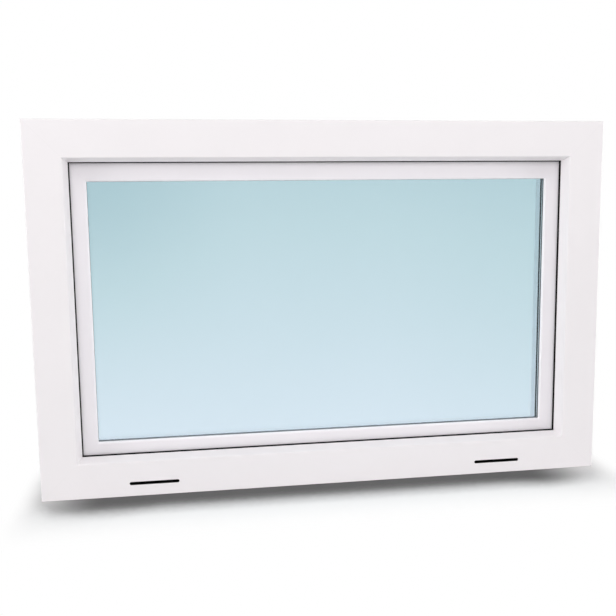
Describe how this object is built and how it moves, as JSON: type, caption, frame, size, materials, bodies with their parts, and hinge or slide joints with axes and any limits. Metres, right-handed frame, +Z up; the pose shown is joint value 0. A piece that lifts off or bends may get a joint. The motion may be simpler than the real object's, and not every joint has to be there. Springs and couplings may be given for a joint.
{
  "type": "hopper window",
  "caption": "White plastic hopper window, shut, with a mitred hollow-profile frame and sash, black seals, double glazing, drain slots, an inside lever handle and bottom hinges.",
  "frame": {"origin": "centre of the underside of the sill, halfway through the depth of the frame", "axes": "+X along the width to the right as seen from outside, +Y from the outside to the inside, +Z up"},
  "size_m": [0.8, 0.126, 0.51],
  "materials": {
    "frame_plastic": "smooth, slightly glossy white",
    "sash_plastic": "smooth, slightly glossy white",
    "bead_plastic": "smooth, slightly glossy white",
    "seal_rubber": "matt black rubber",
    "glazing_glass": "clear, faintly blue",
    "spacer_metal": "mill aluminium",
    "handle_coat": "white powder coat",
    "hinge_coat": "white powder coat",
    "hinge_pin_steel": "bright plated steel"
  },
  "bodies": {
    "root": {"frame_sill": "frame_plastic", "frame_head": "frame_plastic", "frame_left_jamb": "frame_plastic", "frame_right_jamb": "frame_plastic", "sash_bottom_rail": "sash_plastic", "sash_top_rail": "sash_plastic", "sash_left_stile": "sash_plastic", "sash_right_stile": "sash_plastic", "glazing_bead_bottom": "bead_plastic", "glazing_bead_top": "bead_plastic", "glazing_bead_left": "bead_plastic", "glazing_bead_right": "bead_plastic", "frame_seal": "seal_rubber", "sash_seal": "seal_rubber", "outer_glazing_gasket": "seal_rubber", "inner_glazing_gasket": "seal_rubber", "outer_glass_pane": "glazing_glass", "inner_glass_pane": "glazing_glass", "spacer_frame": "spacer_metal", "handle_rosette": "handle_coat", "handle_lever": "handle_coat", "left_hinge_frame_leaf": "hinge_coat", "left_hinge_sash_leaf": "hinge_coat", "left_hinge_pin": "hinge_pin_steel", "right_hinge_frame_leaf": "hinge_coat", "right_hinge_sash_leaf": "hinge_coat", "right_hinge_pin": "hinge_pin_steel"}
  },
  "joints": []
}
